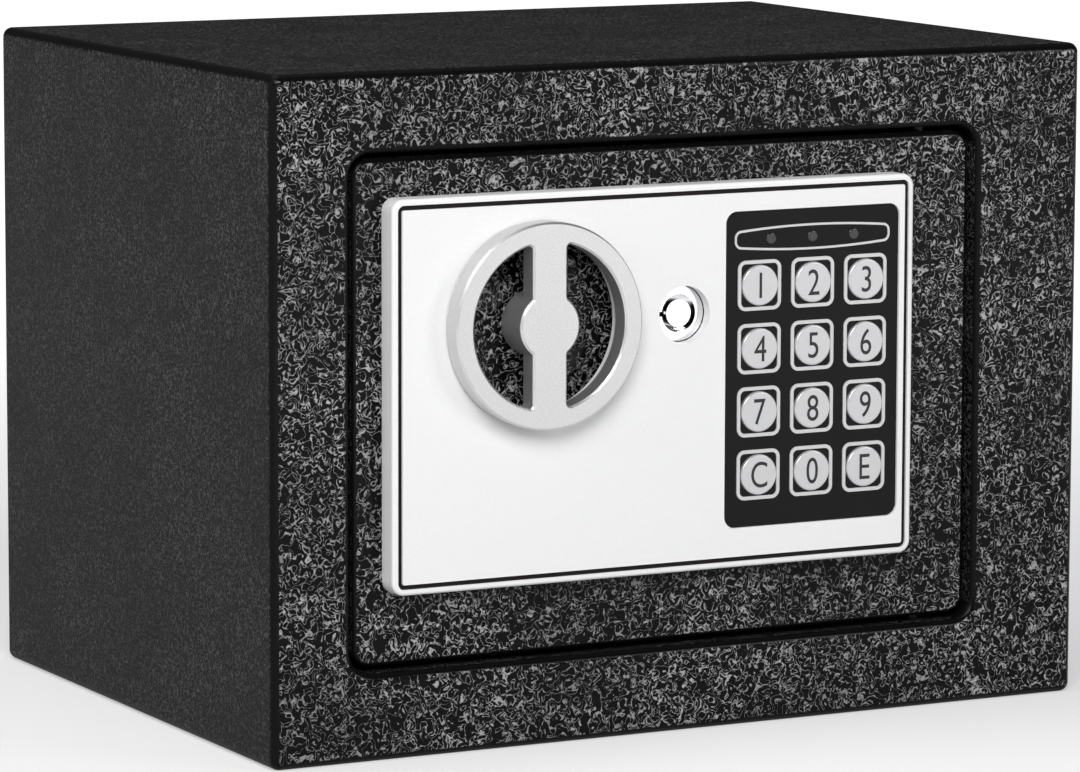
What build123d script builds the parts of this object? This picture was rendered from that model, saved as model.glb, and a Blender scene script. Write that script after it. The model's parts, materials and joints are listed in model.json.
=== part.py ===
"""Small digital safe: steel cabinet, hinged door, fascia with knob, key lock and keypad.

Millimetres. +Z is up and the door faces -Y. The origin is the centre of the cabinet's base.
At rest the door is closed and its two locking bolts are drawn back.
"""

from build123d import *
import os
from math import cos, radians, sin

# Cabinet
WIDTH = 230.0
DEPTH = 170.0
HEIGHT = 170.0
WALL = 2.0
CABINET_CORNER = 2.5
TRAY_DEPTH = 8.0
EDGE_ROUND = 2.4

# Door opening, given by the width of the frame on each side
FRAME_LEFT = 21.0
FRAME_RIGHT = 31.0
FRAME_TOP = 20.0
FRAME_BOTTOM = 22.0
OPENING_CORNER = 6.0
LIP_DEPTH = 14.0
LIP_ROUND = 1.9

# Door
DOOR_GAP = 1.5
DOOR_THICK = 3.0
DOOR_RECESS = 2.0
DOOR_CORNER = 4.5
DOOR_ROUND = 1.4

# Hinge
PIVOT_INSET = 12.0
PIVOT_DEPTH = 6.0
PIN_R = 2.0
RUNNING = 0.05
PIN_ABOVE_LIP = 6.0
PIN_IN_BLOCK = 11.0
BLOCK_WIDTH = 12.0
BLOCK_DEPTH = 7.0
BLOCK_HEIGHT = 14.0
BLOCK_TO_LIP = 2.0
BRACKET_WIDTH = 24.0
BRACKET_THICK = 3.0
PIN_ROUND = 0.4

# Anchor holes and mat
ANCHOR_R = 5.0
ANCHOR_SPACING = 100.0
ANCHOR_HEIGHT = 85.0
MAT_THICK = 2.0
MAT_GAP = 1.0
MAT_HOLE_R = 8.0

# Fascia, placed from the door's left and lower edges
FASCIA_LEFT = 7.9
FASCIA_BOTTOM = 18.0
FASCIA_WIDTH = 147.4
FASCIA_HEIGHT = 97.4
FASCIA_THICK = 6.0
FASCIA_CORNER = 3.2
FASCIA_ROUND = 0.8
FASCIA_WALL = 2.0
RIM_WIDTH = 1.5
GROOVE_WIDTH = 1.2
PLATE_THICK = 1.0
FACE_PLY = 2.0
FASCIA_SCREW_INSET = 5.5
FASCIA_SCREW_R = 1.25
FASCIA_BOSS_R = 3.2
SCREW_HEAD_R = 2.8
SCREW_HEAD_THICK = 2.0
HOLE_CLEARANCE = 0.25

# Knob and drive, placed from the fascia's left edge and top
KNOB_FROM_LEFT = 40.2
KNOB_FROM_TOP = 32.4
KNOB_R = 25.7
KNOB_RING = 4.8
KNOB_THICK = 5.5
KNOB_GAP = 0.5
KNOB_BAR = 9.4
KNOB_HUB_R = 8.2
KNOB_FILLET = 2.0
KNOB_EDGE = 0.5
KNOB_WINDOW_R = 22.0
SPINDLE_R = 4.0
BUSH_R = 6.0
BUSH_FLANGE_R = 8.0
BUSH_FLANGE = 1.5
CRANK_HUB_R = 7.0
CRANK_THICK = 3.0
CRANK_ARM = 8.0
CRANK_THROW = 14.0
CRANK_HALF_TURN = 30.0
CRANK_PIN_R = 2.0
CRANK_PIN_SLACK = 0.4

# Boltwork
CARRIAGE_FROM_DOOR = 8.5
CARRIAGE_THICK = 2.0
BOLT_R = 6.0
BOLT_REACH = 1.0
BOLT_LIP_GAP = 1.5
BOLT_SPREAD = 64.0
GUIDE_FROM_EDGE = 2.6
GUIDE_THICK = 2.0
GUIDE_CLEAR = 0.3
CARRIAGE_LEFT_GAP = 16.0
CARRIAGE_WIDTH = 47.5
CARRIAGE_NECK = 28.0
CARRIAGE_MARGIN = 2.0
STUD_R = 2.0
STUD_SPACER_R = 4.0
STUD_FROM_FLANGE = 8.0
STUD_SPREAD = 50.0
STUD_SLOT_SLACK = 0.3
STUD_PLAY = 0.5
STUD_HEAD = 2.0

# Solenoid
PLUNGER_R = 2.5
PLUNGER_TRAVEL = 5.0
PLUNGER_GAP = 1.5
PLUNGER_FROM_RIGHT = 11.0
SOLENOID_WIDTH = 16.0
SOLENOID_DEPTH = 14.0
SOLENOID_HEIGHT = 22.0
SOLENOID_SHEET = 1.5
COIL_R = 5.8
COLLAR_R = 4.4
COLLAR_THICK = 1.2

# Emergency key lock, placed from the fascia's left edge, level with the knob
LOCK_FROM_LEFT = 81.0
LOCK_HOLE_R = 7.2
KEYWAY_HALF = 0.6
LOCK_BODY_R = 8.0
LOCK_BORE_R = 5.6
LOCK_SET_BACK = 3.2
LOCK_LENGTH = 20.0
LOCK_NUT_R = 12.0
LOCK_NUT_THICK = 3.0
KEYWAY_OUTER_R = 4.75
KEYWAY_INNER_R = 3.5
KEYWAY_DEPTH = 7.0
CAM_LENGTH = 22.0
CAM_WIDTH = 8.0
CAM_THICK = 2.0

# Keypad, placed from the fascia's left edge and lower edge
PANEL_FROM_LEFT = 92.8
PANEL_FROM_BOTTOM = 10.1
PANEL_WIDTH = 50.3
PANEL_HEIGHT = 79.9
PANEL_CORNER = 3.0
PANEL_SINK = 0.6
PANEL_THICK = 1.2
PANEL_LEDGE = 1.6
PANEL_GAP = 0.1
KEY_NAMES = ("1", "2", "3", "4", "5", "6", "7", "8", "9", "c", "0", "e")
KEY_COLUMNS = 3
KEY_PITCH_X = 15.4
KEY_PITCH_Z = 16.0
KEY_FIRST_FROM_LEFT = 9.8
KEY_FIRST_FROM_TOP = 18.8
KEY_FRAME_WIDTH = 12.4
KEY_FRAME_HEIGHT = 12.7
KEY_FRAME_CORNER = 2.2
KEY_FRAME_LINE = 0.9
KEY_FRAME_PROUD = 0.35
KEY_R = 5.15
KEY_PROUD = 0.9
KEY_DEPTH = 0.8
KEY_DOME = 0.45
KEY_GAP = 0.1
KEY_TRAVEL = 0.7
MAT_PAD_GAP = 0.2
PAD_THICK = 0.8
PAD_GAP = 0.6
BOARD_THICK = 1.6
LED_PITCH = 12.0
LED_FROM_TOP = 7.2
LED_R = 1.5
LED_PROUD = 0.4
TRIM_WIDTH = 45.0
TRIM_END = 4.4
TRIM_MIDDLE = 6.6
TRIM_LINE = 0.55
TRIM_PROUD = 0.25

# Inner cover and electronics
COVER_DEPTH = 28.0
COVER_WALL = 1.5
COVER_TOP = 8.0
COVER_BOTTOM = 8.0
COVER_RIGHT = 18.0
COVER_CORNER = 3.0
COVER_POST_R = 3.5
COVER_POST_INSET = 7.0
COVER_POST_FROM_GUIDE = 16.0
COVER_SCREW_R = 1.5
AA_R = 7.25
AA_LENGTH = 50.5
AA_COUNT = 4
AA_GAP = 0.8
AA_PIP_R = 2.5
AA_PIP = 1.0
BATTERY_WALL = 1.5
CONTACT_GAP = 3.0
CONTACT_THICK = 0.4
BATTERY_FROM_RIGHT = 9.5
BATTERY_FROM_BOTTOM = 4.0
LID_GAP = 0.3
LID_FINGER = 8.0
BOARD_FROM_DOOR = 3.5
CONTROL_WIDTH = 26.0
CONTROL_HEIGHT = 28.0
CONTROL_POST_R = 2.0
RESET_R = 4.0
RESET_STEM_R = 1.5
RESET_PROUD = 1.8
RESET_ROUND = 0.8
RESET_TRAVEL = 1.5
RESET_GAP = 0.3
RESET_CAP = 3.5
RESET_FROM_RIGHT = 30.0
RESET_FROM_TOP = 16.0
CABLE_HOLE_WIDTH = 16.0
CABLE_HOLE_HEIGHT = 5.0
CABLE_HOLE_FROM_TOP = 3.0

# Planes and edges worked out from the sizes above
FRONT = -DEPTH / 2
REAR = DEPTH / 2
LEFT = -WIDTH / 2
RIGHT = WIDTH / 2
OPEN_LEFT = LEFT + FRAME_LEFT
OPEN_RIGHT = RIGHT - FRAME_RIGHT
OPEN_LOW = FRAME_BOTTOM
OPEN_HIGH = HEIGHT - FRAME_TOP
DOOR_LEFT = OPEN_LEFT + DOOR_GAP
DOOR_RIGHT = OPEN_RIGHT - DOOR_GAP
DOOR_LOW = OPEN_LOW + DOOR_GAP
DOOR_HIGH = OPEN_HIGH - DOOR_GAP
DOOR_FACE = FRONT + DOOR_RECESS
DOOR_BACK = DOOR_FACE + DOOR_THICK
PIVOT_X = DOOR_RIGHT - PIVOT_INSET
PIVOT_Y = DOOR_FACE + PIVOT_DEPTH
FASCIA_X0 = DOOR_LEFT + FASCIA_LEFT
FASCIA_X1 = FASCIA_X0 + FASCIA_WIDTH
FASCIA_Z0 = DOOR_LOW + FASCIA_BOTTOM
FASCIA_Z1 = FASCIA_Z0 + FASCIA_HEIGHT
FASCIA_FACE = DOOR_FACE - FASCIA_THICK
WALL_FACE = FASCIA_FACE + PLATE_THICK
WALL_BACK = WALL_FACE + FACE_PLY
KNOB_X = FASCIA_X0 + KNOB_FROM_LEFT
KNOB_Z = FASCIA_Z1 - KNOB_FROM_TOP
LOCK_X = FASCIA_X0 + LOCK_FROM_LEFT
LOCK_Z = KNOB_Z
PANEL_X0 = FASCIA_X0 + PANEL_FROM_LEFT
PANEL_X1 = PANEL_X0 + PANEL_WIDTH
PANEL_Z0 = FASCIA_Z0 + PANEL_FROM_BOTTOM
PANEL_Z1 = PANEL_Z0 + PANEL_HEIGHT
PANEL_FACE = FASCIA_FACE + PANEL_SINK
PANEL_BACK = PANEL_FACE + PANEL_THICK
PAD_FACE = PANEL_FACE + KEY_DEPTH + KEY_TRAVEL + MAT_PAD_GAP
CARRIAGE_Y0 = DOOR_BACK + CARRIAGE_FROM_DOOR
CARRIAGE_Y1 = CARRIAGE_Y0 + CARRIAGE_THICK
BOLT_Y = FRONT + LIP_DEPTH + BOLT_LIP_GAP + BOLT_R
BOLT_MID = (DOOR_LOW + DOOR_HIGH) / 2
BOLT_TRAVEL = 2 * CRANK_THROW * sin(radians(CRANK_HALF_TURN))
GUIDE_X0 = DOOR_LEFT + GUIDE_FROM_EDGE
GUIDE_X1 = GUIDE_X0 + GUIDE_THICK
CARRIAGE_X0 = GUIDE_X1 + CARRIAGE_LEFT_GAP
CARRIAGE_X1 = CARRIAGE_X0 + CARRIAGE_WIDTH
COVER_BACK = DOOR_BACK + COVER_DEPTH
COVER_Z0 = DOOR_LOW + COVER_BOTTOM
COVER_Z1 = DOOR_HIGH - COVER_TOP
COVER_X1 = PIVOT_X - COVER_RIGHT


def block(x0, x1, y0, y1, z0, z1):
    """Box between two corners."""
    return Pos((x0 + x1) / 2, (y0 + y1) / 2, (z0 + z1) / 2) * Box(x1 - x0, y1 - y0, z1 - z0)


def slab(x0, x1, y0, y1, z0, z1, corner):
    """Upright plate whose outline in X and Z has rounded corners."""
    outline = RectangleRounded(x1 - x0, z1 - z0, corner)
    return Pos((x0 + x1) / 2, y1, (z0 + z1) / 2) * Rot(90, 0, 0) * extrude(outline, y1 - y0)


def rod_y(x, z, y0, y1, radius):
    """Cylinder along Y."""
    return Pos(x, y1, z) * Rot(90, 0, 0) * extrude(Circle(radius), y1 - y0)


def rod_z(x, y, z0, z1, radius):
    """Cylinder along Z."""
    return Pos(x, y, z0) * extrude(Circle(radius), z1 - z0)


def rod_x(y, z, x0, x1, radius):
    """Cylinder along X."""
    return Pos(x0, y, z) * Rot(0, 90, 0) * extrude(Circle(radius), x1 - x0)


def front_edges(solid, y):
    """The edges that lie wholly in the plane at y."""
    return solid.edges().filter_by_position(Axis.Y, y - 0.001, y + 0.001)


def slot_y(x0, x1, z, y0, y1, radius):
    """Horizontal slot cutter with round ends centred at x0 and x1."""
    bar = block(x0, x1, y0, y1, z - radius, z + radius)
    return bar + rod_y(x0, z, y0, y1, radius) + rod_y(x1, z, y0, y1, radius)


def save(name, *solids):
    """Write one node, as one solid or as a group of separate solids."""
    shape = solids[0] if len(solids) == 1 else Compound(children=list(solids))
    shape.label = name
    export_step(shape, f"parts/{name}.step")


def anchor_points():
    """The two anchor positions along X."""
    return (-ANCHOR_SPACING / 2, ANCHOR_SPACING / 2)


def make_cabinet():
    """Bent wrap, front frame with its returned lip, and rear panel."""
    outer = slab(LEFT, RIGHT, FRONT + TRAY_DEPTH, REAR - TRAY_DEPTH, 0, HEIGHT, CABINET_CORNER)
    inner = slab(LEFT + WALL, RIGHT - WALL, FRONT, REAR, WALL, HEIGHT - WALL, CABINET_CORNER - WALL)
    wrap = outer - inner
    for x in anchor_points():
        wrap -= rod_z(x, 0, -WALL, 2 * WALL, ANCHOR_R)
    save("cabinet_wrap", wrap)

    frame = slab(LEFT, RIGHT, FRONT, FRONT + TRAY_DEPTH, 0, HEIGHT, CABINET_CORNER)
    frame = fillet(front_edges(frame, FRONT), EDGE_ROUND)
    frame -= slab(
        LEFT + WALL, RIGHT - WALL, FRONT + WALL, FRONT + TRAY_DEPTH, WALL, HEIGHT - WALL,
        CABINET_CORNER - WALL,
    )
    frame += slab(
        OPEN_LEFT - WALL, OPEN_RIGHT + WALL, FRONT + WALL, FRONT + LIP_DEPTH,
        OPEN_LOW - WALL, OPEN_HIGH + WALL, OPENING_CORNER + WALL,
    )
    frame -= slab(
        OPEN_LEFT, OPEN_RIGHT, FRONT - WALL, FRONT + LIP_DEPTH + WALL, OPEN_LOW, OPEN_HIGH,
        OPENING_CORNER,
    )
    mouth = front_edges(frame, FRONT).filter_by(
        lambda edge: OPEN_LEFT - 1 < edge.center().X < OPEN_RIGHT + 1
        and OPEN_LOW - 1 < edge.center().Z < OPEN_HIGH + 1
    )
    frame = fillet(mouth, LIP_ROUND)
    for z in (OPEN_LOW - WALL / 2, OPEN_HIGH + WALL / 2):
        frame -= rod_z(PIVOT_X, PIVOT_Y, z - WALL, z + WALL, PIN_R + RUNNING)
    save("front_frame", frame)

    rear = slab(LEFT, RIGHT, REAR - TRAY_DEPTH, REAR, 0, HEIGHT, CABINET_CORNER)
    rear = fillet(front_edges(rear, REAR), EDGE_ROUND)
    rear -= slab(
        LEFT + WALL, RIGHT - WALL, REAR - TRAY_DEPTH, REAR - WALL, WALL, HEIGHT - WALL,
        CABINET_CORNER - WALL,
    )
    for x in anchor_points():
        rear -= rod_y(x, ANCHOR_HEIGHT, REAR - 2 * WALL, REAR + WALL, ANCHOR_R)
    save("rear_panel", rear)

    mat = block(
        LEFT + WALL + MAT_GAP, RIGHT - WALL - MAT_GAP, FRONT + LIP_DEPTH, REAR - WALL - MAT_GAP,
        WALL, WALL + MAT_THICK,
    )
    mat = fillet(mat.edges().filter_by(Axis.Z), MAT_HOLE_R / 2)
    for x in anchor_points():
        mat -= rod_z(x, 0, 0, 2 * (WALL + MAT_THICK), MAT_HOLE_R)
    save("floor_mat", mat)


def make_hinges():
    """Pins fixed in blocks on the door, turning in the lip and in a bracket welded behind it."""
    ends = {
        "upper": (OPEN_HIGH + WALL, DOOR_HIGH, 1),
        "lower": (OPEN_LOW - WALL, DOOR_LOW, -1),
    }
    for name, (lip, door_edge, way) in ends.items():
        bracket = block(
            PIVOT_X - BRACKET_WIDTH / 2, PIVOT_X + BRACKET_WIDTH / 2,
            FRONT + WALL, FRONT + LIP_DEPTH,
            min(lip, lip + way * BRACKET_THICK), max(lip, lip + way * BRACKET_THICK),
        )
        bracket -= rod_z(
            PIVOT_X, PIVOT_Y, lip - 2 * BRACKET_THICK, lip + 2 * BRACKET_THICK, PIN_R + RUNNING
        )
        save(f"hinge_bracket_{name}", bracket)

        near = door_edge - way * BLOCK_TO_LIP
        far = near - way * BLOCK_HEIGHT
        carrier = block(
            PIVOT_X - BLOCK_WIDTH / 2, PIVOT_X + BLOCK_WIDTH / 2,
            DOOR_BACK, DOOR_BACK + BLOCK_DEPTH, min(near, far), max(near, far),
        )
        pin_end = near - way * PIN_IN_BLOCK
        pin_tip = lip + way * PIN_ABOVE_LIP
        pin = rod_z(PIVOT_X, PIVOT_Y, min(pin_end, pin_tip), max(pin_end, pin_tip), PIN_R)
        carrier -= pin
        tip = pin.faces().sort_by(Axis.Z)[-1 if way > 0 else 0]
        save(f"hinge_block_{name}", carrier)
        save(f"hinge_pin_{name}", chamfer(tip.edges(), PIN_ROUND))


def fascia_screw_points():
    """The fascia's four screw positions in X and Z."""
    return [
        (x, z)
        for x in (FASCIA_X0 + FASCIA_SCREW_INSET, FASCIA_X1 - FASCIA_SCREW_INSET)
        for z in (FASCIA_Z0 + FASCIA_SCREW_INSET, FASCIA_Z1 - FASCIA_SCREW_INSET)
    ]


def cover_post_points():
    """The inner cover's four post positions in X and Z."""
    low = COVER_Z0 + COVER_POST_INSET
    high = COVER_Z1 - COVER_POST_INSET
    return [
        (x, z)
        for x in (GUIDE_X1 + COVER_POST_FROM_GUIDE, COVER_X1 - COVER_POST_INSET)
        for z in (low, high)
    ]


def make_door():
    """Door plate and the screws that hold the fascia to it."""
    door = slab(DOOR_LEFT, DOOR_RIGHT, DOOR_FACE, DOOR_BACK, DOOR_LOW, DOOR_HIGH, DOOR_CORNER)
    door = fillet(front_edges(door, DOOR_FACE), DOOR_ROUND)
    door -= rod_y(KNOB_X, KNOB_Z, DOOR_FACE - 1, DOOR_BACK + 1, BUSH_R)
    door -= rod_y(LOCK_X, LOCK_Z, DOOR_FACE - 1, DOOR_BACK + 1, LOCK_BODY_R)
    for x, z in fascia_screw_points():
        door -= rod_y(x, z, DOOR_FACE - 1, DOOR_BACK + 1, FASCIA_SCREW_R + HOLE_CLEARANCE)
    door -= block(*cable_hole_x(), DOOR_FACE - 1, DOOR_BACK + 1, *cable_hole_z())
    save("door_plate", door)

    screws = []
    for x, z in fascia_screw_points():
        shank = rod_y(x, z, WALL_BACK, DOOR_BACK, FASCIA_SCREW_R)
        screws.append(shank + rod_y(x, z, DOOR_BACK, DOOR_BACK + SCREW_HEAD_THICK, SCREW_HEAD_R))
    save("fascia_screws", *screws)


def cable_hole_x():
    """Sides of the keypad cable's hole through the door."""
    middle = (PANEL_X0 + PANEL_X1) / 2
    return middle - CABLE_HOLE_WIDTH / 2, middle + CABLE_HOLE_WIDTH / 2


def cable_hole_z():
    """Top and bottom of the keypad cable's hole."""
    return PANEL_Z1 - CABLE_HOLE_FROM_TOP - CABLE_HOLE_HEIGHT, PANEL_Z1 - CABLE_HOLE_FROM_TOP


def fascia_slab(inset, y0, y1):
    """Fascia outline drawn in by inset, between two depths."""
    return slab(
        FASCIA_X0 + inset, FASCIA_X1 - inset, y0, y1, FASCIA_Z0 + inset, FASCIA_Z1 - inset,
        max(FASCIA_CORNER - inset, 0.5),
    )


def make_fascia():
    """Moulded bezel with a rim, and the satin plate that lies in it with a groove all round."""
    bezel = fascia_slab(0, FASCIA_FACE, DOOR_FACE)
    bezel = fillet(front_edges(bezel, FASCIA_FACE), FASCIA_ROUND)
    bezel -= fascia_slab(RIM_WIDTH, FASCIA_FACE - 1, WALL_FACE)
    bezel -= fascia_slab(FASCIA_WALL, WALL_BACK, DOOR_FACE + 1)
    for x, z in fascia_screw_points():
        bezel += rod_y(x, z, WALL_BACK, DOOR_FACE, FASCIA_BOSS_R)
        bezel -= rod_y(x, z, WALL_BACK, DOOR_FACE + 1, FASCIA_SCREW_R)
    plate = fascia_slab(RIM_WIDTH + GROOVE_WIDTH, FASCIA_FACE, WALL_FACE)
    knob_window = rod_y(KNOB_X, KNOB_Z, FASCIA_FACE - 1, DOOR_FACE, KNOB_WINDOW_R)
    lock_window = rod_y(LOCK_X, LOCK_Z, FASCIA_FACE - 1, DOOR_FACE, LOCK_HOLE_R)
    pocket = panel_slab(-PANEL_GAP, FASCIA_FACE - 1, PANEL_BACK)
    well = panel_slab(PANEL_LEDGE, FASCIA_FACE - 1, DOOR_FACE)
    save("fascia_bezel", bezel - knob_window - lock_window - pocket - well)
    save("fascia_plate", plate - knob_window - lock_window - pocket)


def panel_slab(inset, y0, y1):
    """Keypad panel's outline drawn in by inset, between two depths."""
    return slab(
        PANEL_X0 + inset, PANEL_X1 - inset, y0, y1, PANEL_Z0 + inset, PANEL_Z1 - inset,
        PANEL_CORNER - inset,
    )


def key_points():
    """Name and centre of each key."""
    points = []
    for index, name in enumerate(KEY_NAMES):
        row, column = divmod(index, KEY_COLUMNS)
        x = PANEL_X0 + KEY_FIRST_FROM_LEFT + column * KEY_PITCH_X
        z = PANEL_Z1 - KEY_FIRST_FROM_TOP - row * KEY_PITCH_Z
        points.append((name, x, z))
    return points


def led_points():
    """Centres of the three lamps in X; they share one height."""
    middle = (PANEL_X0 + PANEL_X1) / 2
    return [middle + step * LED_PITCH for step in (-1, 0, 1)]


def trim_outline(inset):
    """Lens-shaped outline: short straight ends and gently arched long sides."""
    half = TRIM_WIDTH / 2 - inset
    end = TRIM_END / 2 - inset
    middle = TRIM_MIDDLE / 2 - inset
    top = ThreePointArc((-half, end), (0, middle), (half, end))
    right = Line((half, end), (half, -end))
    low = ThreePointArc((half, -end), (0, -middle), (-half, -end))
    left = Line((-half, -end), (-half, end))
    shape = make_face([top, right, low, left])
    return fillet(shape.vertices(), TRIM_END / 2 - inset - 0.3)


def make_keypad():
    """Gloss panel, lamps and trim, key outlines, twelve keys, contact mat and board."""
    led_z = PANEL_Z1 - LED_FROM_TOP
    panel = panel_slab(0, PANEL_FACE, PANEL_BACK)
    outlines = []
    for name, x, z in key_points():
        panel -= rod_y(x, z, PANEL_FACE - 1, PANEL_BACK + 1, KEY_R + KEY_GAP)
        half_w = KEY_FRAME_WIDTH / 2
        half_h = KEY_FRAME_HEIGHT / 2
        y0 = PANEL_FACE - KEY_FRAME_PROUD
        line = slab(x - half_w, x + half_w, y0, PANEL_FACE, z - half_h, z + half_h, KEY_FRAME_CORNER)
        half_w -= KEY_FRAME_LINE
        half_h -= KEY_FRAME_LINE
        line -= slab(
            x - half_w, x + half_w, y0 - 1, PANEL_FACE + 1, z - half_h, z + half_h,
            KEY_FRAME_CORNER - KEY_FRAME_LINE,
        )
        outlines.append(line)
        cap = rod_y(x, z, PANEL_FACE - KEY_PROUD, PANEL_FACE + KEY_DEPTH, KEY_R)
        crown = front_edges(cap, PANEL_FACE - KEY_PROUD)
        save(f"key_{name}", fillet(crown, KEY_DOME))
    for x in led_points():
        panel -= rod_y(x, led_z, PANEL_FACE - 1, PANEL_BACK + 1, LED_R)
    save("keypad_panel", panel)
    save("key_outlines", *outlines)

    lamps = []
    for x in led_points():
        lamp = rod_y(x, led_z, PANEL_FACE - LED_PROUD, PAD_FACE, LED_R)
        lamps.append(fillet(front_edges(lamp, PANEL_FACE - LED_PROUD), LED_PROUD))
    save("indicator_lamps", *lamps)

    ring = extrude(trim_outline(0), TRIM_PROUD) - extrude(trim_outline(TRIM_LINE), 2 * TRIM_PROUD)
    middle = (PANEL_X0 + PANEL_X1) / 2
    save("lamp_trim", Pos(middle, PANEL_FACE, led_z) * Rot(90, 0, 0) * ring)

    save("contact_mat", panel_slab(PANEL_LEDGE + PAD_GAP, PAD_FACE, PAD_FACE + PAD_THICK))
    board_y = PAD_FACE + PAD_THICK
    save("keypad_board", panel_slab(PANEL_LEDGE + PAD_GAP, board_y, board_y + BOARD_THICK))


def make_lock():
    """Tubular key lock: threaded housing, nut, barrel with a ring keyway, and its cam."""
    face = FASCIA_FACE + LOCK_SET_BACK
    back = face + LOCK_LENGTH
    housing = rod_y(LOCK_X, LOCK_Z, face, DOOR_FACE, LOCK_HOLE_R - HOLE_CLEARANCE)
    housing += rod_y(LOCK_X, LOCK_Z, DOOR_FACE, back, LOCK_BODY_R)
    housing -= rod_y(LOCK_X, LOCK_Z, face - 1, back + 1, LOCK_BORE_R)
    save("lock_housing", housing)
    nut = Pos(LOCK_X, DOOR_BACK + LOCK_NUT_THICK, LOCK_Z) * Rot(90, 0, 0) * extrude(
        RegularPolygon(LOCK_NUT_R, 6, major_radius=False), LOCK_NUT_THICK
    )
    save("lock_nut", nut - rod_y(LOCK_X, LOCK_Z, DOOR_BACK - 1, back, LOCK_BODY_R))

    barrel = rod_y(LOCK_X, LOCK_Z, face, back + CAM_THICK, LOCK_BORE_R - RUNNING)
    keyway = rod_y(LOCK_X, LOCK_Z, face - 1, face + KEYWAY_DEPTH, KEYWAY_OUTER_R)
    keyway -= rod_y(LOCK_X, LOCK_Z, face - 1, face + KEYWAY_DEPTH, KEYWAY_INNER_R)
    notch = block(
        LOCK_X - LOCK_BORE_R - 1, LOCK_X - KEYWAY_INNER_R - 0.2, face - 1, face + KEYWAY_DEPTH / 2,
        LOCK_Z - KEYWAY_HALF, LOCK_Z + KEYWAY_HALF,
    )
    save("lock_cylinder", barrel - keyway - notch)

    cam = block(
        LOCK_X, LOCK_X + CAM_LENGTH, back + RUNNING, back + CAM_THICK, LOCK_Z - CAM_WIDTH / 2,
        LOCK_Z + CAM_WIDTH / 2,
    )
    cam = fillet(cam.edges().filter_by(Axis.Y).group_by(Axis.X)[-1], CAM_WIDTH / 2 - 0.1)
    cam += rod_y(LOCK_X, LOCK_Z, back + RUNNING, back + CAM_THICK, LOCK_BORE_R + COVER_WALL)
    save("lock_cam", cam - rod_y(LOCK_X, LOCK_Z, back, back + 2 * CAM_THICK, LOCK_BORE_R - RUNNING))


def make_knob():
    """Ring knob with a bar and hub, its spindle, the bush in the door and the drive crank."""
    face = FASCIA_FACE - KNOB_GAP - KNOB_THICK
    ring = Circle(KNOB_R)
    bore = Circle(KNOB_R - KNOB_RING)
    spoke = Rectangle(KNOB_BAR, 2 * KNOB_R)
    openings = bore - spoke - Circle(KNOB_HUB_R)
    openings = fillet(openings.vertices(), KNOB_FILLET / 2)
    disc = extrude(ring - openings, KNOB_THICK)
    knob = Pos(KNOB_X, face + KNOB_THICK, KNOB_Z) * Rot(90, 0, 0) * disc
    knob = chamfer(front_edges(knob, face), KNOB_EDGE)
    knob += rod_y(KNOB_X, KNOB_Z, face + KNOB_THICK, DOOR_FACE - BUSH_FLANGE, KNOB_HUB_R)
    socket_floor = face + KNOB_THICK / 2
    knob -= rod_y(KNOB_X, KNOB_Z, socket_floor, DOOR_FACE, SPINDLE_R)
    save("knob", knob)

    crank_y0 = DOOR_BACK + BUSH_FLANGE
    crank_y1 = crank_y0 + CRANK_THICK
    save("knob_spindle", rod_y(KNOB_X, KNOB_Z, socket_floor, crank_y1, SPINDLE_R))
    bush = rod_y(KNOB_X, KNOB_Z, DOOR_FACE - BUSH_FLANGE + KNOB_GAP, DOOR_BACK, BUSH_R)
    bush += rod_y(KNOB_X, KNOB_Z, DOOR_BACK, DOOR_BACK + BUSH_FLANGE - KNOB_GAP, BUSH_FLANGE_R)
    bush -= rod_y(KNOB_X, KNOB_Z, FASCIA_FACE, crank_y1, SPINDLE_R + RUNNING)
    save("spindle_bush", bush)

    crank = Circle(CRANK_HUB_R) + Circle(CRANK_ARM / 2).moved(Location((0, -CRANK_THROW)))
    crank += Rectangle(CRANK_ARM, CRANK_THROW).moved(Location((0, -CRANK_THROW / 2)))
    lever = extrude(crank, CRANK_THICK) - extrude(Circle(SPINDLE_R), CRANK_THICK)
    pin_end = CARRIAGE_Y1 + 1 - crank_y1
    lever += Pos(0, -CRANK_THROW, -pin_end) * extrude(Circle(CRANK_PIN_R), pin_end)
    lever = Rot(0, 0, CRANK_HALF_TURN) * lever
    save("drive_crank", Pos(KNOB_X, crank_y1, KNOB_Z) * Rot(90, 0, 0) * lever)


def stud_points():
    """The two studs that the bolt carriage slides on."""
    x = CARRIAGE_X0 + STUD_FROM_FLANGE
    return [(x, BOLT_MID - STUD_SPREAD / 2), (x, BOLT_MID + STUD_SPREAD / 2)]


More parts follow.
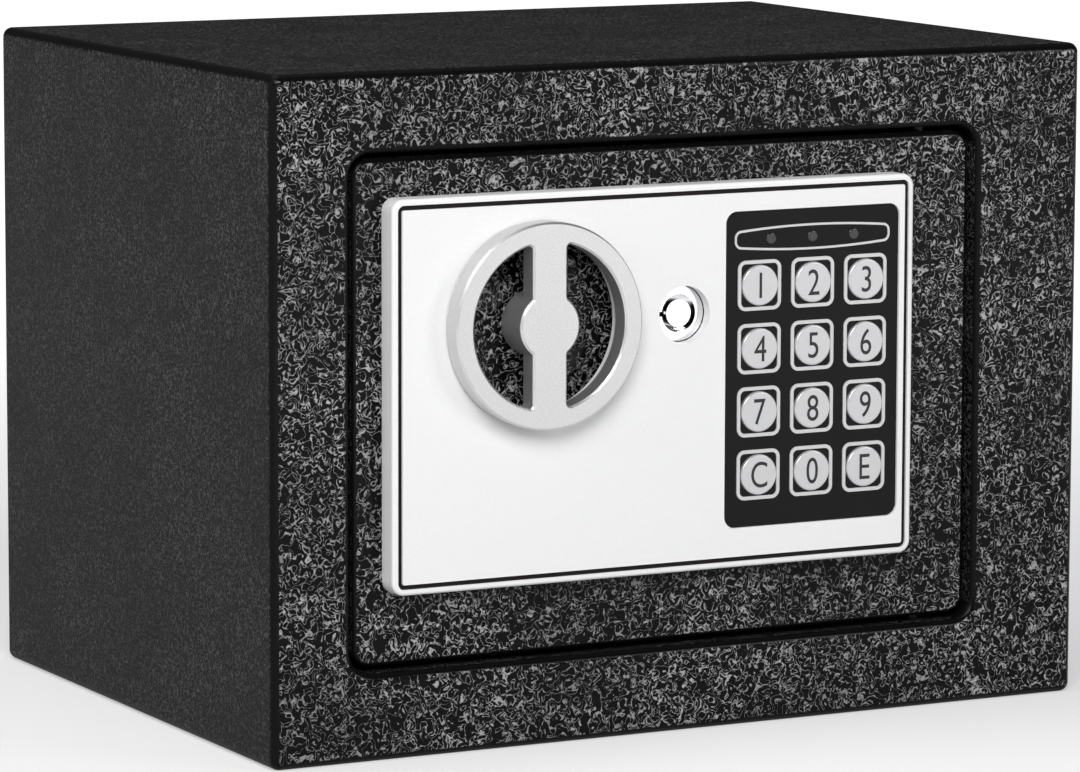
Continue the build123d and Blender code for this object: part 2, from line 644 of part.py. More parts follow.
def make_boltwork():
    """Sliding carriage with two bolts, its studs and the guide plate that the bolts pass."""
    bolt_heights = (BOLT_MID - BOLT_SPREAD / 2, BOLT_MID + BOLT_SPREAD / 2)
    low = bolt_heights[0] - BOLT_R - CARRIAGE_MARGIN
    high = bolt_heights[1] + BOLT_R + CARRIAGE_MARGIN
    step = BOLT_MID - STUD_SPREAD / 2 + CARRIAGE_NECK / 2 - CARRIAGE_MARGIN * 3
    plate = block(CARRIAGE_X0, CARRIAGE_X1, CARRIAGE_Y0, CARRIAGE_Y1, low, high)
    plate -= block(
        CARRIAGE_X0 + CARRIAGE_NECK, CARRIAGE_X1 + 1, CARRIAGE_Y0 - 1, CARRIAGE_Y1 + 1, low - 1, step
    )
    flange_y1 = BOLT_Y + BOLT_R + CARRIAGE_MARGIN / 2
    plate += block(CARRIAGE_X0, CARRIAGE_X0 + CARRIAGE_THICK, CARRIAGE_Y0, flange_y1, low, high)
    pin_x = KNOB_X + CRANK_THROW * sin(radians(CRANK_HALF_TURN))
    pin_top = KNOB_Z - CRANK_THROW * cos(radians(CRANK_HALF_TURN))
    pin_low = KNOB_Z - CRANK_THROW
    half = CRANK_PIN_R + CRANK_PIN_SLACK
    plate -= block(
        pin_x - half, pin_x + half, CARRIAGE_Y0 - 1, CARRIAGE_Y1 + 1,
        pin_low - half - CRANK_PIN_SLACK, pin_top + half + CRANK_PIN_SLACK,
    )
    for x, z in stud_points():
        plate -= slot_y(x, x + BOLT_TRAVEL, z, CARRIAGE_Y0 - 1, CARRIAGE_Y1 + 1, STUD_R + STUD_SLOT_SLACK)
    plunger_x = CARRIAGE_X1 - PLUNGER_FROM_RIGHT
    notch = PLUNGER_R + STUD_SLOT_SLACK
    plate -= block(
        plunger_x - notch, plunger_x + notch, CARRIAGE_Y0 - 1, CARRIAGE_Y1 + 1,
        step - 1, step + PLUNGER_TRAVEL,
    )
    save("bolt_carriage", plate)

    tip = DOOR_LEFT + GUIDE_FROM_EDGE - BOLT_REACH
    bolts = []
    for z in bolt_heights:
        bolt = rod_x(BOLT_Y, z, tip, CARRIAGE_X0, BOLT_R)
        bolts.append(chamfer(bolt.faces().sort_by(Axis.X)[0].edges(), BOLT_REACH))
    save("locking_bolts", *bolts)

    guide = block(GUIDE_X0, GUIDE_X1, DOOR_BACK, COVER_BACK, COVER_Z0, COVER_Z1)
    for z in bolt_heights:
        guide -= rod_x(BOLT_Y, z, GUIDE_X0 - 1, GUIDE_X1 + 1, BOLT_R + GUIDE_CLEAR)
    save("bolt_guide_plate", guide)

    studs = []
    for x, z in stud_points():
        stud = rod_y(x, z, DOOR_BACK, CARRIAGE_Y0 - STUD_PLAY, STUD_SPACER_R)
        stud += rod_y(x, z, CARRIAGE_Y0 - STUD_PLAY, CARRIAGE_Y1 + STUD_PLAY, STUD_R)
        head = CARRIAGE_Y1 + STUD_PLAY
        stud += rod_y(x, z, head, head + STUD_HEAD, STUD_SPACER_R)
        studs.append(stud)
    save("carriage_studs", *studs)
    make_solenoid(plunger_x, step)


def make_solenoid(x, edge):
    """Solenoid below the carriage's edge, with its plunger, spring and strap frame."""
    y = (CARRIAGE_Y0 + CARRIAGE_Y1) / 2
    tip = edge - PLUNGER_GAP
    spring_room = PLUNGER_TRAVEL + COLLAR_THICK + PLUNGER_GAP * 2
    top = tip - spring_room
    low = top - SOLENOID_HEIGHT
    half = SOLENOID_WIDTH / 2
    frame = block(x - half, x + half, DOOR_BACK, y + SOLENOID_DEPTH / 2, low, top)
    frame -= block(
        x - half - 1, x + half + 1, DOOR_BACK + SOLENOID_SHEET, y + SOLENOID_DEPTH / 2 + 1,
        low + SOLENOID_SHEET, top - SOLENOID_SHEET,
    )
    frame -= rod_z(x, y, low - 1, top + 1, PLUNGER_R + RUNNING * 2)
    save("solenoid_frame", frame)
    coil = rod_z(x, y, low + SOLENOID_SHEET, top - SOLENOID_SHEET, COIL_R)
    coil -= rod_z(x, y, low, top, PLUNGER_R + RUNNING * 2)
    save("solenoid_coil", coil)
    collar_low = tip - PLUNGER_GAP - COLLAR_THICK
    plunger = rod_z(x, y, low + SOLENOID_SHEET, tip, PLUNGER_R)
    collar_low -= PLUNGER_TRAVEL
    plunger += rod_z(x, y, collar_low, collar_low + COLLAR_THICK, COLLAR_R)
    save("solenoid_plunger", plunger)


def make_cover():
    """Inner cover, its posts and screws, batteries, control board and reset button."""
    cover = block(GUIDE_X1, COVER_X1, DOOR_BACK, COVER_BACK, COVER_Z0, COVER_Z1)
    corners = cover.edges().filter_by(Axis.Y).group_by(Axis.X)[-1]
    cover = fillet(corners, COVER_CORNER)
    cover -= block(
        GUIDE_X1 - 1, COVER_X1 - COVER_WALL, DOOR_BACK - 1, COVER_BACK - COVER_WALL,
        COVER_Z0 + COVER_WALL, COVER_Z1 - COVER_WALL,
    )
    box_x1 = COVER_X1 - COVER_WALL - BATTERY_FROM_RIGHT
    span = AA_COUNT * 2 * AA_R + (AA_COUNT + 1) * AA_GAP
    box_x0 = box_x1 - span - 2 * BATTERY_WALL
    box_z0 = COVER_Z0 + COVER_WALL + BATTERY_FROM_BOTTOM
    box_z1 = box_z0 + AA_LENGTH + AA_PIP + 2 * CONTACT_GAP + 2 * BATTERY_WALL
    box_y1 = COVER_BACK - COVER_WALL
    box_y0 = box_y1 - 2 * AA_R - 2 * AA_GAP - BATTERY_WALL
    inner = BATTERY_WALL + LID_GAP
    cover -= block(
        box_x0 + BATTERY_WALL, box_x1 - BATTERY_WALL, box_y1 - 1, COVER_BACK + 1,
        box_z0 + BATTERY_WALL, box_z1 - BATTERY_WALL,
    )
    reset_x = COVER_X1 - RESET_FROM_RIGHT
    reset_z = COVER_Z1 - RESET_FROM_TOP
    cover -= rod_y(reset_x, reset_z, box_y1 - 1, COVER_BACK + 1, RESET_R + RESET_GAP)
    for x, z in cover_post_points():
        cover -= rod_y(x, z, box_y1 - 1, COVER_BACK + 1, COVER_SCREW_R + HOLE_CLEARANCE)
    save("door_inner_cover", cover)

    box = block(box_x0, box_x1, box_y0, box_y1, box_z0, box_z1)
    box -= block(
        box_x0 + BATTERY_WALL, box_x1 - BATTERY_WALL, box_y0 + BATTERY_WALL, box_y1 + 1,
        box_z0 + BATTERY_WALL, box_z1 - BATTERY_WALL,
    )
    save("battery_box", box)
    lid = block(
        box_x0 + inner, box_x1 - inner, box_y1, COVER_BACK, box_z0 + inner, box_z1 - inner
    )
    grip = rod_y(
        (box_x0 + box_x1) / 2, box_z1 - LID_FINGER, COVER_BACK - COVER_WALL / 2, COVER_BACK + 1,
        LID_FINGER / 2,
    )
    save("battery_lid", lid - grip)

    cells = []
    contacts = []
    cell_y = box_y1 - AA_GAP - AA_R
    for index in range(AA_COUNT):
        x = box_x0 + BATTERY_WALL + AA_GAP + AA_R + index * (2 * AA_R + AA_GAP)
        z0 = box_z0 + BATTERY_WALL + CONTACT_GAP
        z1 = z0 + AA_LENGTH + AA_PIP
        if index % 2:
            cell = rod_z(x, cell_y, z0 + AA_PIP, z1, AA_R)
            cell += rod_z(x, cell_y, z0, z0 + AA_PIP, AA_PIP_R)
        else:
            cell = rod_z(x, cell_y, z0, z1 - AA_PIP, AA_R)
            cell += rod_z(x, cell_y, z1 - AA_PIP, z1, AA_PIP_R)
        cells.append(cell)
        for low, high in (
            (box_z0 + BATTERY_WALL, z0),
            (z1, box_z1 - BATTERY_WALL),
        ):
            leaf = block(x - AA_R + 1, x + AA_R - 1, cell_y - AA_R + 1, cell_y + AA_R - 1, low, high)
            leaf -= block(
                x - AA_R, x + AA_R - 1 - CONTACT_THICK, cell_y - AA_R, cell_y + AA_R,
                low + CONTACT_THICK, high - CONTACT_THICK,
            )
            contacts.append(leaf)
    save("batteries", *cells)
    save("battery_contacts", *contacts)

    posts = []
    screws = []
    for x, z in cover_post_points():
        post = rod_y(x, z, DOOR_BACK, box_y1, COVER_POST_R)
        posts.append(post - rod_y(x, z, box_y1 - 4 * COVER_SCREW_R, box_y1 + 1, COVER_SCREW_R))
        screw = rod_y(x, z, box_y1 - 4 * COVER_SCREW_R, COVER_BACK, COVER_SCREW_R)
        head = rod_y(x, z, COVER_BACK, COVER_BACK + SCREW_HEAD_THICK, SCREW_HEAD_R)
        head = fillet(front_edges(head, COVER_BACK + SCREW_HEAD_THICK), SCREW_HEAD_THICK / 2)
        screws.append(screw + head)
    save("cover_posts", *posts)
    save("cover_screws", *screws)

    board_x1 = COVER_X1 - COVER_WALL - 2 * COVER_POST_INSET
    board_z1 = COVER_Z1 - COVER_WALL - BATTERY_FROM_BOTTOM
    board_y0 = DOOR_BACK + BOARD_FROM_DOOR
    board = block(
        board_x1 - CONTROL_WIDTH, board_x1, board_y0, board_y0 + BOARD_THICK,
        board_z1 - CONTROL_HEIGHT, board_z1,
    )
    save("control_board", board)
    stands = []
    for x in (board_x1 - CONTROL_WIDTH + 2 * CONTROL_POST_R, board_x1 - 2 * CONTROL_POST_R):
        for z in (board_z1 - CONTROL_HEIGHT + 2 * CONTROL_POST_R, board_z1 - 2 * CONTROL_POST_R):
            stands.append(rod_y(x, z, DOOR_BACK, board_y0, CONTROL_POST_R))
    save("board_standoffs", *stands)
    reset_y = COVER_BACK + RESET_PROUD
    button = rod_y(reset_x, reset_z, reset_y - RESET_CAP, reset_y, RESET_R)
    button = fillet(front_edges(button, reset_y), RESET_ROUND)
    stem_y0 = board_y0 + BOARD_THICK + RESET_TRAVEL + RESET_GAP
    button += rod_y(reset_x, reset_z, stem_y0, reset_y - RESET_CAP, RESET_STEM_R)
    save("reset_button", button)


os.makedirs("parts", exist_ok=True)
make_cabinet()
make_hinges()
make_door()
make_fascia()
make_keypad()
make_lock()
make_knob()
make_boltwork()
make_cover()
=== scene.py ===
"""Looks of the small digital safe: finishes, key legends, groove line, light and camera."""
import json
import math

import bpy
from mathutils import Matrix, Vector

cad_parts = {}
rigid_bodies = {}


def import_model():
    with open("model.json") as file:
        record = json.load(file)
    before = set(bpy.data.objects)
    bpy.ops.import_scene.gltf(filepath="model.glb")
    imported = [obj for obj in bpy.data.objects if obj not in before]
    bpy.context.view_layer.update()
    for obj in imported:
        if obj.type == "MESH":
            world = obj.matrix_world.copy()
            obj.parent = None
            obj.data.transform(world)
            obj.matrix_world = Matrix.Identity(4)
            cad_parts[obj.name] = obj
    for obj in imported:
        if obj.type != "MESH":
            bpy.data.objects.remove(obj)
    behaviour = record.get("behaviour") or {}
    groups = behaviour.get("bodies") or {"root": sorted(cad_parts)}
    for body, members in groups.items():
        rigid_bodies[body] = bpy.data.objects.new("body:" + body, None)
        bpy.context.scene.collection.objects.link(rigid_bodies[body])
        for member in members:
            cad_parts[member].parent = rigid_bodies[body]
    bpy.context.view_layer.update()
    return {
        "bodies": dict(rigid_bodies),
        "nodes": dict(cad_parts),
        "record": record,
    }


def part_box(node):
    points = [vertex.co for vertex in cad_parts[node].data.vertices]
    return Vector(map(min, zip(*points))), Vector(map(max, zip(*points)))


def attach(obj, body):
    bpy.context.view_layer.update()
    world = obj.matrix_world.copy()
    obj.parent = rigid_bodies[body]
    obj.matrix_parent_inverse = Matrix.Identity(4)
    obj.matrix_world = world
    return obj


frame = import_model()
NODES = frame["nodes"]
MM = 0.001
QUARTER = math.pi / 2


# ---------------------------------------------------------------- node helpers
def new_material(name, color, metallic=0.0, roughness=0.5, **extra):
    """Principled material; extra gives other sockets by name, with _ for a space."""
    material = bpy.data.materials.new(name)
    material.use_nodes = True
    shader = material.node_tree.nodes["Principled BSDF"]
    shader.inputs["Base Color"].default_value = (*color, 1.0)
    shader.inputs["Metallic"].default_value = metallic
    shader.inputs["Roughness"].default_value = roughness
    for key, value in extra.items():
        shader.inputs[key.replace("_", " ")].default_value = value
    return material


def add(material, kind, **settings):
    """New node in a material, with its properties set."""
    node = material.node_tree.nodes.new(kind)
    for key, value in settings.items():
        setattr(node, key, value)
    return node


def join(material, source, target):
    """Link an output socket to an input socket."""
    material.node_tree.links.new(source, target)


def shader_input(material, name):
    """A socket of the material's shader."""
    return material.node_tree.nodes["Principled BSDF"].inputs[name]


def math_node(material, operation, first, second=None):
    """Math node whose inputs are sockets or numbers; returns its output."""
    node = add(material, "ShaderNodeMath", operation=operation)
    for socket, value in zip(node.inputs, (first, second)):
        if value is None:
            continue
        if isinstance(value, (int, float)):
            socket.default_value = value
        else:
            join(material, value, socket)
    return node.outputs[0]


def ramp(material, source, low, high, bottom=0.0, top=1.0):
    """Map a value smoothly from low..high to bottom..top."""
    node = add(material, "ShaderNodeMapRange", interpolation_type="SMOOTHSTEP")
    join(material, source, node.inputs["Value"])
    node.inputs["From Min"].default_value = low
    node.inputs["From Max"].default_value = high
    node.inputs["To Min"].default_value = bottom
    node.inputs["To Max"].default_value = top
    return node.outputs[0]


def noise(material, scale, detail=2.0, distortion=0.0):
    """Noise in the object's own space; scale is in features per metre."""
    place = add(material, "ShaderNodeTexCoord")
    node = add(material, "ShaderNodeTexNoise")
    join(material, place.outputs["Object"], node.inputs["Vector"])
    node.inputs["Scale"].default_value = scale
    node.inputs["Detail"].default_value = detail
    node.inputs["Distortion"].default_value = distortion
    return node.outputs[0]


def bump(material, height, distance):
    """Bump from a height socket onto the material's shader."""
    node = add(material, "ShaderNodeBump")
    node.inputs["Distance"].default_value = distance
    join(material, height, node.inputs["Height"])
    join(material, node.outputs[0], shader_input(material, "Normal"))


def tint(material, factor, dark, light):
    """Colour that varies between two values."""
    mix = add(material, "ShaderNodeMix", data_type="RGBA")
    join(material, factor, mix.inputs[0])
    mix.inputs["A"].default_value = (*dark, 1.0)
    mix.inputs["B"].default_value = (*light, 1.0)
    join(material, mix.outputs["Result"], shader_input(material, "Base Color"))


def blend_values(material, factor, first, second):
    """Value that goes from one socket's to another's as the factor goes from 0 to 1."""
    mix = add(material, "ShaderNodeMix", data_type="FLOAT")
    for socket, source in zip((mix.inputs[0], mix.inputs[2], mix.inputs[3]), (factor, first, second)):
        join(material, source, socket)
    return mix.outputs[0]


# ---------------------------------------------------------------- black coat
COAT_COLOR = (0.003, 0.003, 0.0033)
# Lighter grey painted on the ridges as a painted highlight; the coat itself is black.
RIDGE_PAINTED_HIGHLIGHT = (0.44, 0.435, 0.432)
COAT_SPECULAR = 0.09
RIDGE_SCALE = 430
RIDGE_WARP = 1.4
GRAIN_SCALE = 800
GRAIN_WARP = 0.5
RIDGE_DETAIL = 1.0
RIDGE_BAND = 0.06
RIDGE_HEIGHT = 0.25 * MM
HIGHLIGHT_PATCH_SCALE = 40
HIGHLIGHT_PATCH_DIMMEST = 0.6
# On faces that look sideways, up or down, the ridges are lower, their painted highlight is dimmer, and
# the coat is duller.
ELSEWHERE_HEIGHT = 0.5
ELSEWHERE_PAINTED_HIGHLIGHT = 0.22
ELSEWHERE_ROUGHNESS = 0.5
FRONT_ROUGHNESS = 0.16
# A face is flat where one part of its normal is this large, and looks front or rear where the Y part is.
FLAT_FROM, FLAT_FULL = 0.93, 0.998
FRONT_FROM, FRONT_FULL = 0.6, 0.9


def winding_lines(material, scale, warp):
    """One along the lines where a noise crosses its middle value, and zero away from them."""
    level = math_node(material, "SUBTRACT", noise(material, scale, RIDGE_DETAIL, warp), 0.5)
    return ramp(material, math_node(material, "ABSOLUTE", level), 0.0, RIDGE_BAND, 1.0, 0.0)


def powder_coat():
    """Gloss black coat: winding ridges on front and rear faces, finer grain elsewhere, smooth bends; the
    ridges carry a painted highlight.
    """
    material = new_material("powder_coat", COAT_COLOR, Specular_IOR_Level=COAT_SPECULAR)
    normal = add(material, "ShaderNodeNewGeometry")
    split = add(material, "ShaderNodeSeparateXYZ")
    join(material, normal.outputs["True Normal"], split.inputs[0])
    across, ahead, above = (math_node(material, "ABSOLUTE", split.outputs[i]) for i in range(3))
    widest = math_node(material, "MAXIMUM", math_node(material, "MAXIMUM", across, ahead), above)
    flat = ramp(material, widest, FLAT_FROM, FLAT_FULL)
    front = ramp(material, ahead, FRONT_FROM, FRONT_FULL)
    ridges = winding_lines(material, RIDGE_SCALE, RIDGE_WARP)
    grain = winding_lines(material, GRAIN_SCALE, GRAIN_WARP)
    ridge = math_node(material, "MULTIPLY", blend_values(material, front, grain, ridges), flat)
    depth = ramp(material, front, 0.0, 1.0, ELSEWHERE_HEIGHT, 1.0)
    bump(material, math_node(material, "MULTIPLY", ridge, depth), RIDGE_HEIGHT)
    # Painted highlight on the ridges: lighter grey, weaker in random patches and on faces that do not
    # look front or rear.
    highlight_patches = ramp(material, noise(material, HIGHLIGHT_PATCH_SCALE, 2.0), 0.3, 0.7, HIGHLIGHT_PATCH_DIMMEST, 1.0)
    highlight_facing = ramp(material, front, 0.0, 1.0, ELSEWHERE_PAINTED_HIGHLIGHT, 1.0)
    painted_highlight = math_node(material, "MULTIPLY", ridge, math_node(material, "MULTIPLY", highlight_patches, highlight_facing))
    tint(material, painted_highlight, COAT_COLOR, RIDGE_PAINTED_HIGHLIGHT)
    rough = ramp(material, front, 0.0, 1.0, ELSEWHERE_ROUGHNESS, FRONT_ROUGHNESS)
    join(material, rough, shader_input(material, "Roughness"))
    return material


# ---------------------------------------------------------------- other finishes
SILVER_DARKEST = 0.93
PLASTIC_DARKEST = 0.85
PLASTIC_PATCHES = 90
TOOL_MARKS = 900
TOOL_MARK_DEPTH = 0.015 * MM
METAL_ROUGHNESS_SWING = 0.25


def darker(color, share):
    """The colour with each channel cut to a share."""
    return tuple(channel * share for channel in color)


def satin_silver(name, color, metallic, roughness, grain, depth):
    """Painted or plated silver with a fine grain."""
    material = new_material(name, color, metallic, roughness)
    speckle = noise(material, grain, 2.5)
    bump(material, speckle, depth)
    tint(material, ramp(material, speckle, 0.35, 0.65), darker(color, SILVER_DARKEST), color)
    return material


def moulded(name, color, roughness, grain=2600, depth=0.02 * MM, **extra):
    """Moulded plastic, felt or paint with slight surface grain and tone."""
    material = new_material(name, color, 0.0, roughness, **extra)
    bump(material, noise(material, grain, 2.0), depth)
    tone = ramp(material, noise(material, PLASTIC_PATCHES, 3), 0.3, 0.7)
    tint(material, tone, darker(color, PLASTIC_DARKEST), color)
    return material


def turned_metal(name, color, roughness):
    """Bare metal with fine tool marks."""
    material = new_material(name, color, 1.0, roughness)
    marks = noise(material, TOOL_MARKS, 4.0)
    bump(material, marks, TOOL_MARK_DEPTH)
    low = roughness * (1 - METAL_ROUGHNESS_SWING)
    high = roughness * (1 + METAL_ROUGHNESS_SWING)
    join(material, ramp(material, marks, 0.3, 0.7, low, high), shader_input(material, "Roughness"))
    return material


FINISHES = {
    "powder_coat": powder_coat(),
    "felt": moulded("felt", (0.028, 0.028, 0.03), 0.95, 1500, 0.25 * MM, Sheen_Weight=0.4),
    "steel": turned_metal("steel", (0.62, 0.62, 0.63), 0.25),
    "zinc": turned_metal("zinc", (0.55, 0.57, 0.6), 0.38),
    "chrome": turned_metal("chrome", (0.86, 0.86, 0.87), 0.08),
    "black_plastic": moulded("black_plastic", (0.018, 0.018, 0.02), 0.45),
    "fascia": satin_silver("fascia", (0.86, 0.86, 0.865), 0.0, 0.42, 5200, 0.006 * MM),
    "knob": satin_silver("knob", (0.66, 0.66, 0.665), 0.85, 0.36, 2200, 0.06 * MM),
    "panel": moulded("panel", (0.007, 0.007, 0.008), 0.2, 3000, 0.002 * MM, Specular_IOR_Level=0.12),
    "silver_print": satin_silver("silver_print", (0.62, 0.62, 0.625), 0.3, 0.4, 5000, 0.004 * MM),
    "lens": moulded("lens", (0.02, 0.02, 0.022), 0.08, 3000, 0.001 * MM),
    "solder_mask": moulded("solder_mask", (0.015, 0.14, 0.05), 0.35),
    "silicone": moulded("silicone", (0.24, 0.24, 0.24), 0.7),
    "sleeve": moulded("sleeve", (0.045, 0.045, 0.05), 0.3),
    "copper": turned_metal("copper", (0.62, 0.27, 0.12), 0.35),
    "red": moulded("red", (0.5, 0.018, 0.015), 0.3),
    "key": satin_silver("key", (0.60, 0.60, 0.61), 0.45, 0.3, 4200, 0.008 * MM),
    "ink": moulded("ink", (0.008, 0.008, 0.009), 0.5),
    # Near-black finish for the strip laid in the fascia groove, which makes the groove dark.
    "groove_dark": moulded("groove_dark", (0.012, 0.009, 0.009), 0.4, Specular_IOR_Level=0.1),
    "dark_steel": turned_metal("dark_steel", (0.03, 0.03, 0.032), 0.45),
}
SLOT_FINISH = {
    "cabinet_paint": "powder_coat",
    "door_paint": "powder_coat",
    "mat_felt": "felt",
    "bright_steel": "steel",
    "zinc_plate": "zinc",
    "chrome_lock": "chrome",
    "bush_plastic": "black_plastic",
    "fascia_silver": "fascia",
    "knob_silver": "knob",
    "panel_gloss": "panel",
    "trim_silver": "silver_print",
    "lamp_dark": "lens",
    "board_green": "solder_mask",
    "mat_rubber": "silicone",
    "battery_jacket": "sleeve",
    "coil_copper": "copper",
    "reset_red": "red",
    "key_silver": "key",
}


def dress_nodes():
    """Give every CAD node the finish of its slot, and the hinge pins a darker steel."""
    for row in frame["record"]["subparts"]:
        node = NODES[row["node"]]
        node.data.materials.clear()
        node.data.materials.append(FINISHES[SLOT_FINISH[row["material_slot"]]])
        for face in node.data.polygons:
            face.material_index = 0
    for pin in ("hinge_pin_upper", "hinge_pin_lower"):
        NODES[pin].data.materials[0] = FINISHES["dark_steel"]


# ---------------------------------------------------------------- key legends
LEGEND_HEIGHT = 6.6 * MM
CAPITAL_SHARE = 0.7
LEGEND_NARROW = 0.80
LEGEND_DEPTH = 0.02 * MM
LEGEND_SMOOTHNESS = 8


def character_mesh(character):
    """One character as a thin mesh in X and Y, in the built-in font."""
    text = bpy.data.curves.new(f"legend_{character}", "FONT")
    text.body = character.upper()
    text.size = LEGEND_HEIGHT / CAPITAL_SHARE
    text.align_x = "CENTER"
    text.align_y = "CENTER"
    text.extrude = LEGEND_DEPTH
    text.resolution_u = LEGEND_SMOOTHNESS
    temporary = bpy.data.objects.new("temporary", text)
    bpy.context.scene.collection.objects.link(temporary)
    bpy.context.view_layer.update()
    depsgraph = bpy.context.evaluated_depsgraph_get()
    mesh = bpy.data.meshes.new_from_object(temporary.evaluated_get(depsgraph))
    bpy.data.objects.remove(temporary)
    return mesh


def stand_on_key(mesh, low, high):
    """Turn a character upright, centre it on a key's box and lay it on the key's face."""
    xs = [vertex.co.x for vertex in mesh.vertices]
    ys = [vertex.co.y for vertex in mesh.vertices]
    middle = Vector(((min(xs) + max(xs)) / 2, (min(ys) + max(ys)) / 2, 0))
    for vertex in mesh.vertices:
        point = vertex.co - middle
        vertex.co = Vector((
            (low.x + high.x) / 2 + point.x * LEGEND_NARROW,
            low.y - LEGEND_DEPTH - point.z,
            (low.z + high.z) / 2 + point.y,
        ))


def add_legends():
    """A printed character on the face of each key."""
    for name in frame["bodies"]:
        if not name.startswith("key_") or name == "key_lock":
            continue
        character = name.removeprefix("key_")
        mesh = character_mesh(character)
        stand_on_key(mesh, *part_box(name))
        mesh.materials.clear()
        mesh.materials.append(FINISHES["ink"])
        legend = bpy.data.objects.new(f"legend_{character}", mesh)
        bpy.context.scene.collection.objects.link(legend)
        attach(legend, name)


# ---------------------------------------------------------------- groove round the fascia plate
GROOVE_FILL = 0.35 * MM
GROOVE_OUT = 1.19 * MM
PLATE_CORNER = 0.6 * MM
ARC_STEPS = 8


def rounded_loop(low, high, out, radius):
    """Points of a rounded rectangle in X and Z, drawn out from a box by a margin."""
    points = []
    centres = (
        (high.x + out - radius, high.z + out - radius, 0),
        (low.x - out + radius, high.z + out - radius, 1),
        (low.x - out + radius, low.z - out + radius, 2),
        (high.x + out - radius, low.z - out + radius, 3),
    )
    for x, z, quarter in centres:
        for step in range(ARC_STEPS + 1):
            angle = QUARTER * (quarter + step / ARC_STEPS)
            points.append((x + radius * math.cos(angle), z + radius * math.sin(angle)))
    return points


def add_groove():
    """Dark strip lying in the groove between the plate and the bezel's rim."""
    low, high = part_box("fascia_plate")
    inner = rounded_loop(low, high, 0.0, PLATE_CORNER)
    outer = rounded_loop(low, high, GROOVE_OUT, PLATE_CORNER + GROOVE_OUT)
    count = len(inner)
    vertices = []
    for y in (high.y - GROOVE_FILL, high.y):
        vertices += [(x, y, z) for x, z in outer] + [(x, y, z) for x, z in inner]
    faces = []
    for i in range(count):
        j = (i + 1) % count
        faces.append((i, count + i, count + j, j))
        faces.append((2 * count + j, 3 * count + j, 3 * count + i, 2 * count + i))
        faces.append((j, 2 * count + j, 2 * count + i, i))
        faces.append((count + i, 3 * count + i, 3 * count + j, count + j))
    mesh = bpy.data.meshes.new("fascia_groove_line")
    mesh.from_pydata(vertices, [], faces)
    mesh.materials.append(FINISHES["groove_dark"])
    line = bpy.data.objects.new("fascia_groove_line", mesh)
    bpy.context.scene.collection.objects.link(line)
    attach(line, "door")


# ---------------------------------------------------------------- stage
FLOOR_SIZE = 12.0
FLOOR_COLOR = (0.5, 0.5, 0.5)
FLOOR_ROUGHNESS = 0.9
GLOW_NEAR = 0.42
GLOW_FAR = 1.0
GLOW_FROM = 0.15
GLOW_TO = 1.1
ROOM_LIGHT = 0.1


def seen_directly(material):
    """One where a ray comes from the camera, a reflection or glass, and zero elsewhere."""
    rays = add(material, "ShaderNodeLightPath")
    seen = math_node(material, "MAXIMUM", rays.outputs["Is Camera Ray"], rays.outputs["Is Glossy Ray"])
    return math_node(material, "MAXIMUM", seen, rays.outputs["Is Transmission Ray"])


def add_floor():
    """Pale floor that keeps the shadow near the object and is white further out."""
    bpy.ops.mesh.primitive_plane_add(size=FLOOR_SIZE, location=(0, 0, 0))
    floor = bpy.context.object
    floor.name = "studio_floor"
    material = new_material("floor_paint", FLOOR_COLOR, 0.0, FLOOR_ROUGHNESS)
    shader_input(material, "Emission Color").default_value = (1, 1, 1, 1)
    place = add(material, "ShaderNodeTexCoord")
    reach = add(material, "ShaderNodeVectorMath", operation="LENGTH")
    join(material, place.outputs["Object"], reach.inputs[0])
    glow = ramp(material, reach.outputs["Value"], GLOW_FROM, GLOW_TO, GLOW_NEAR, GLOW_FAR)
    lit = math_node(material, "MULTIPLY", glow, seen_directly(material))
    join(material, lit, shader_input(material, "Emission Strength"))
    floor.data.materials.append(material)


def add_room():
    """Dim, even surroundings."""
    world = bpy.data.worlds.new("studio")
    bpy.context.scene.world = world
    world.use_nodes = True
    background = world.node_tree.nodes["Background"]
    background.inputs["Color"].default_value = (1, 1, 1, 1)
    background.inputs["Strength"].default_value = ROOM_LIGHT


LAMP_AIM = Vector((0, 0, 0.09))
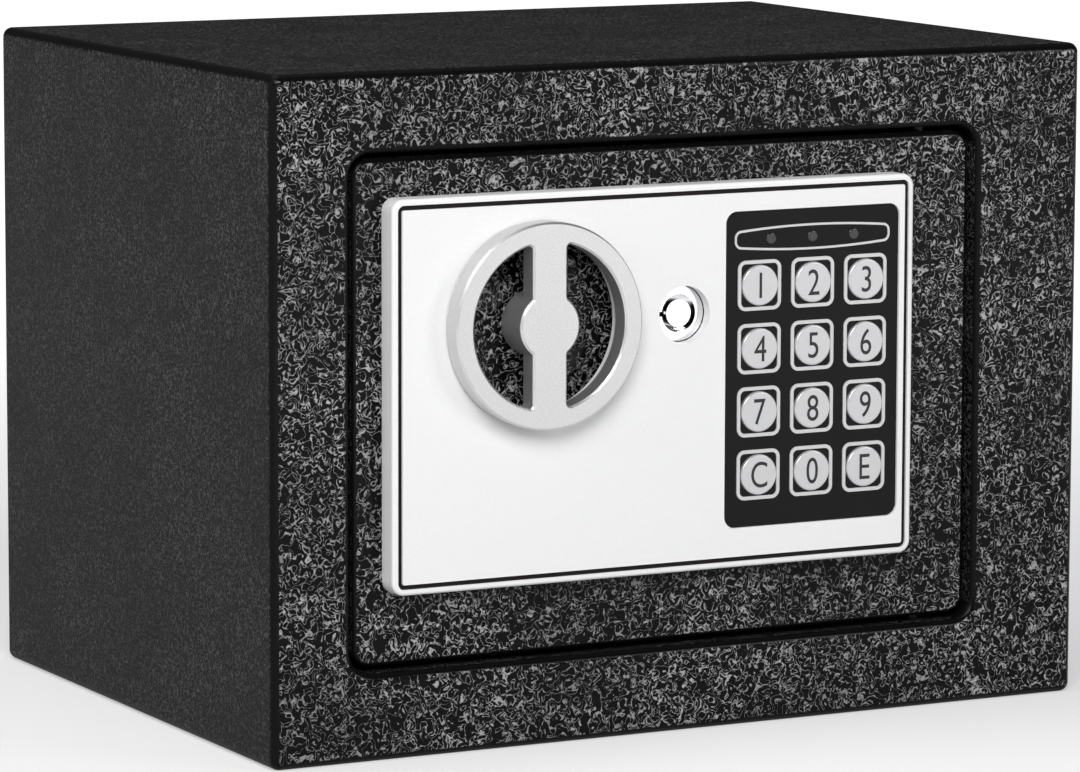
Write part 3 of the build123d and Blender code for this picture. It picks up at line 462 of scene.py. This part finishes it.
# Name, place in metres, side of the square in metres, and power in watts.
LAMPS = (
    ("key_box", (-0.5, -0.95, 0.78), 0.6, 12.5),
    ("right_box", (0.8, -1.1, 0.45), 0.5, 4),
    ("left_box", (-1.2, -0.2, 0.6), 0.5, 3),
    ("top_box", (-0.2, 0.2, 1.3), 0.7, 5),
)


def add_lights():
    """Key box ahead and left, weaker boxes on both sides, and one overhead."""
    for name, place, side, power in LAMPS:
        data = bpy.data.lights.new(name, "AREA")
        data.shape = "SQUARE"
        data.size = side
        data.energy = power
        lamp = bpy.data.objects.new(name, data)
        lamp.location = place
        lamp.rotation_euler = (LAMP_AIM - Vector(place)).to_track_quat("-Z", "Y").to_euler()
        bpy.context.scene.collection.objects.link(lamp)


# Angles in degrees, distance and target in metres, lens and sensor in millimetres.
CAMERA_AZIMUTH = -27.63
CAMERA_ELEVATION = 7.93
CAMERA_ROLL = 0.15
CAMERA_DISTANCE = 1.5064
CAMERA_TARGET = Vector((0.00238, 0.0, 0.07709))
CAMERA_LENS = 190.3
CAMERA_SENSOR = 36.0
CAMERA_REACH = 50.0


def add_camera():
    """Long lens a little above the top, to the left of the door."""
    azimuth = math.radians(CAMERA_AZIMUTH)
    elevation = math.radians(CAMERA_ELEVATION)
    back = Vector((
        math.sin(azimuth) * math.cos(elevation),
        -math.cos(azimuth) * math.cos(elevation),
        math.sin(elevation),
    ))
    data = bpy.data.cameras.new("camera")
    data.lens = CAMERA_LENS
    data.sensor_width = CAMERA_SENSOR
    data.clip_end = CAMERA_REACH
    camera = bpy.data.objects.new("camera", data)
    camera.location = CAMERA_TARGET + back * CAMERA_DISTANCE
    aim = (-back).to_track_quat("-Z", "Y").to_matrix().to_4x4()
    roll = Matrix.Rotation(math.radians(CAMERA_ROLL), 4, "Z")
    camera.rotation_euler = (aim @ roll).to_euler()
    bpy.context.scene.collection.objects.link(camera)
    bpy.context.scene.camera = camera


dress_nodes()
add_legends()
add_groove()
add_floor()
add_room()
add_lights()
add_camera()
bpy.context.scene.view_settings.view_transform = "Standard"
